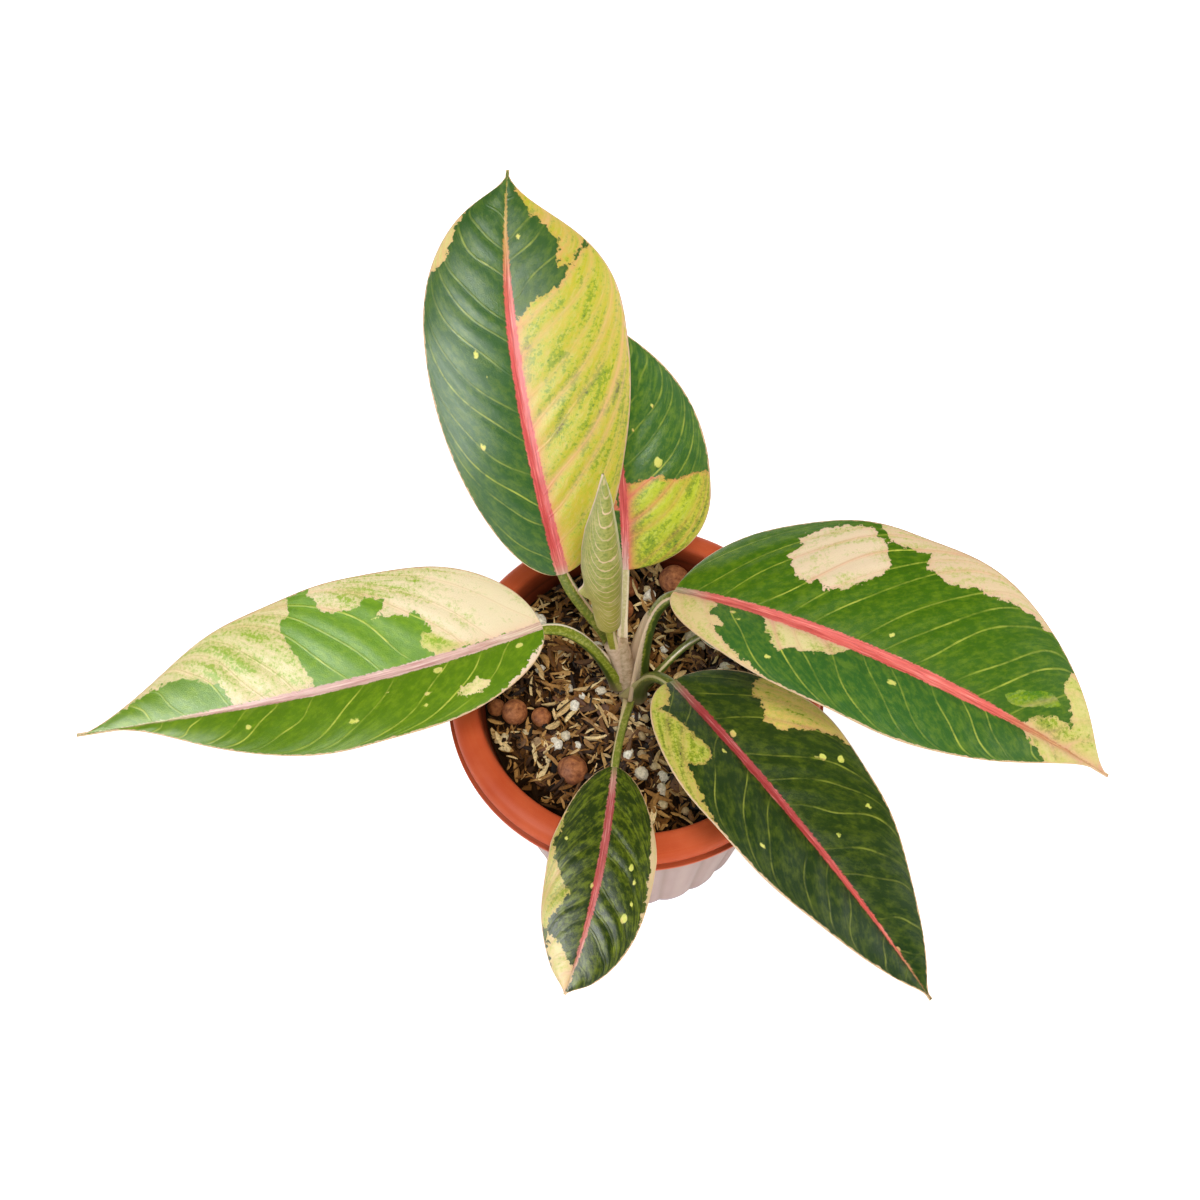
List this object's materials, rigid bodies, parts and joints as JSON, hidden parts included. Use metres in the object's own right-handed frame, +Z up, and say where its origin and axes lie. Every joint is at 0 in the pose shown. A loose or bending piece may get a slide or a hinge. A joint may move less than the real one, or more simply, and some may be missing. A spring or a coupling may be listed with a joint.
{
  "type": "potted chinese evergreen plant",
  "caption": "Leafy variegated Chinese evergreen growing in a round double plastic pot, for standing on a shelf or table.",
  "frame": {"origin": "middle of the outer pot's base, on the surface that the pot stands on", "axes": "+Z up; -Y is the side that the picture looks at from above; +X to the right in that view"},
  "size_m": [0.3708, 0.2555, 0.2898],
  "materials": {
    "terracotta_plastic": "satin moulded polypropylene, terracotta red",
    "frosted_plastic": "frosted moulded polypropylene, pale pinkish grey",
    "potting_mix": "loose rice hulls, bark chips and perlite, matt",
    "fired_clay": "matt porous fired clay",
    "leaf_flesh": "smooth waxy leaf, green with cream patches and a coral midrib",
    "young_leaf_flesh": "smooth waxy young leaf, pale olive with pinkish cream veins",
    "stem_flesh": "fleshy green stem with papery cream sheaths"
  },
  "bodies": {
    "root": {"outer_pot": "frosted_plastic", "inner_pot": "terracotta_plastic", "potting_mix": "potting_mix", "clay_ball_1": "fired_clay", "clay_ball_2": "fired_clay", "clay_ball_3": "fired_clay", "clay_ball_4": "fired_clay", "clay_ball_5": "fired_clay", "clay_ball_6": "fired_clay", "clay_ball_7": "fired_clay", "clay_ball_8": "fired_clay", "stem": "stem_flesh", "leaf_north": "leaf_flesh", "leaf_northeast": "leaf_flesh", "leaf_west": "leaf_flesh", "leaf_east": "leaf_flesh", "leaf_southeast": "leaf_flesh", "leaf_south": "leaf_flesh", "leaf_lower_east": "leaf_flesh", "leaf_new_rolled": "young_leaf_flesh"}
  },
  "joints": []
}
